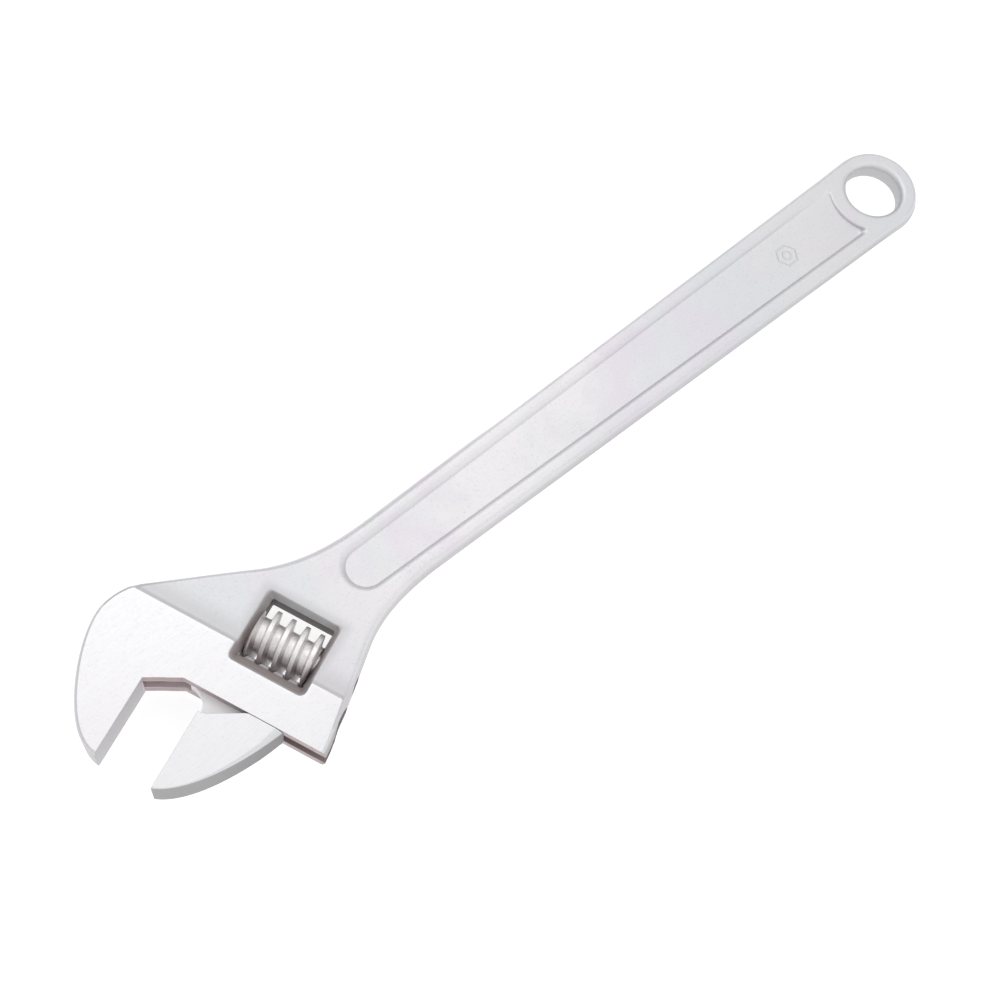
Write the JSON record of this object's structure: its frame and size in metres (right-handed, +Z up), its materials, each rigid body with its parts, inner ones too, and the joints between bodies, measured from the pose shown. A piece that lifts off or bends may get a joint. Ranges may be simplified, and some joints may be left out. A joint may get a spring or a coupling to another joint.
{
  "type": "adjustable wrench",
  "caption": "Large adjustable wrench: long flat tapered handle with a hanging eye, angled head with a fixed jaw, and a sliding jaw moved by an adjusting worm.",
  "frame": {"origin": "centre of the wrench's footprint as it lies flat, at the height of the lowest crest of the adjusting worm", "axes": "+X along the handle from the jaws to the hanging eye, +Y across the handle towards the fixed jaw's side, +Z up through the thickness"},
  "size_m": [0.6042, 0.137, 0.032],
  "materials": {
    "forged_steel": "satin plated, ground on the jaw faces",
    "jaw_steel": "satin plated, ground on the jaw faces",
    "worm_steel": "satin turned",
    "pin_steel": "turned",
    "spring_steel": "drawn wire"
  },
  "bodies": {
    "body": {"wrench_body": "forged_steel", "worm_pin": "pin_steel", "worm_spring": "spring_steel"},
    "jaw": {"movable_jaw": "jaw_steel"},
    "worm": {"adjusting_worm": "worm_steel"}
  },
  "joints": [
    {"name": "jaw_slide", "type": "slide", "parent": "body", "child": "jaw", "axis": [0.3827, -0.9239, 0], "range_m": [-0.0335, 0.0282]},
    {"name": "worm_spin", "type": "hinge", "parent": "body", "child": "worm", "pos_m": [-0.18926, -0.00765, 0.016], "axis": [0.3827, -0.9239, 0], "range_deg": [-1175, 1395]}
  ],
  "couplings": [
    {"joint": "worm_spin", "follows": "jaw_slide", "rad_per_m": -724.96}
  ]
}
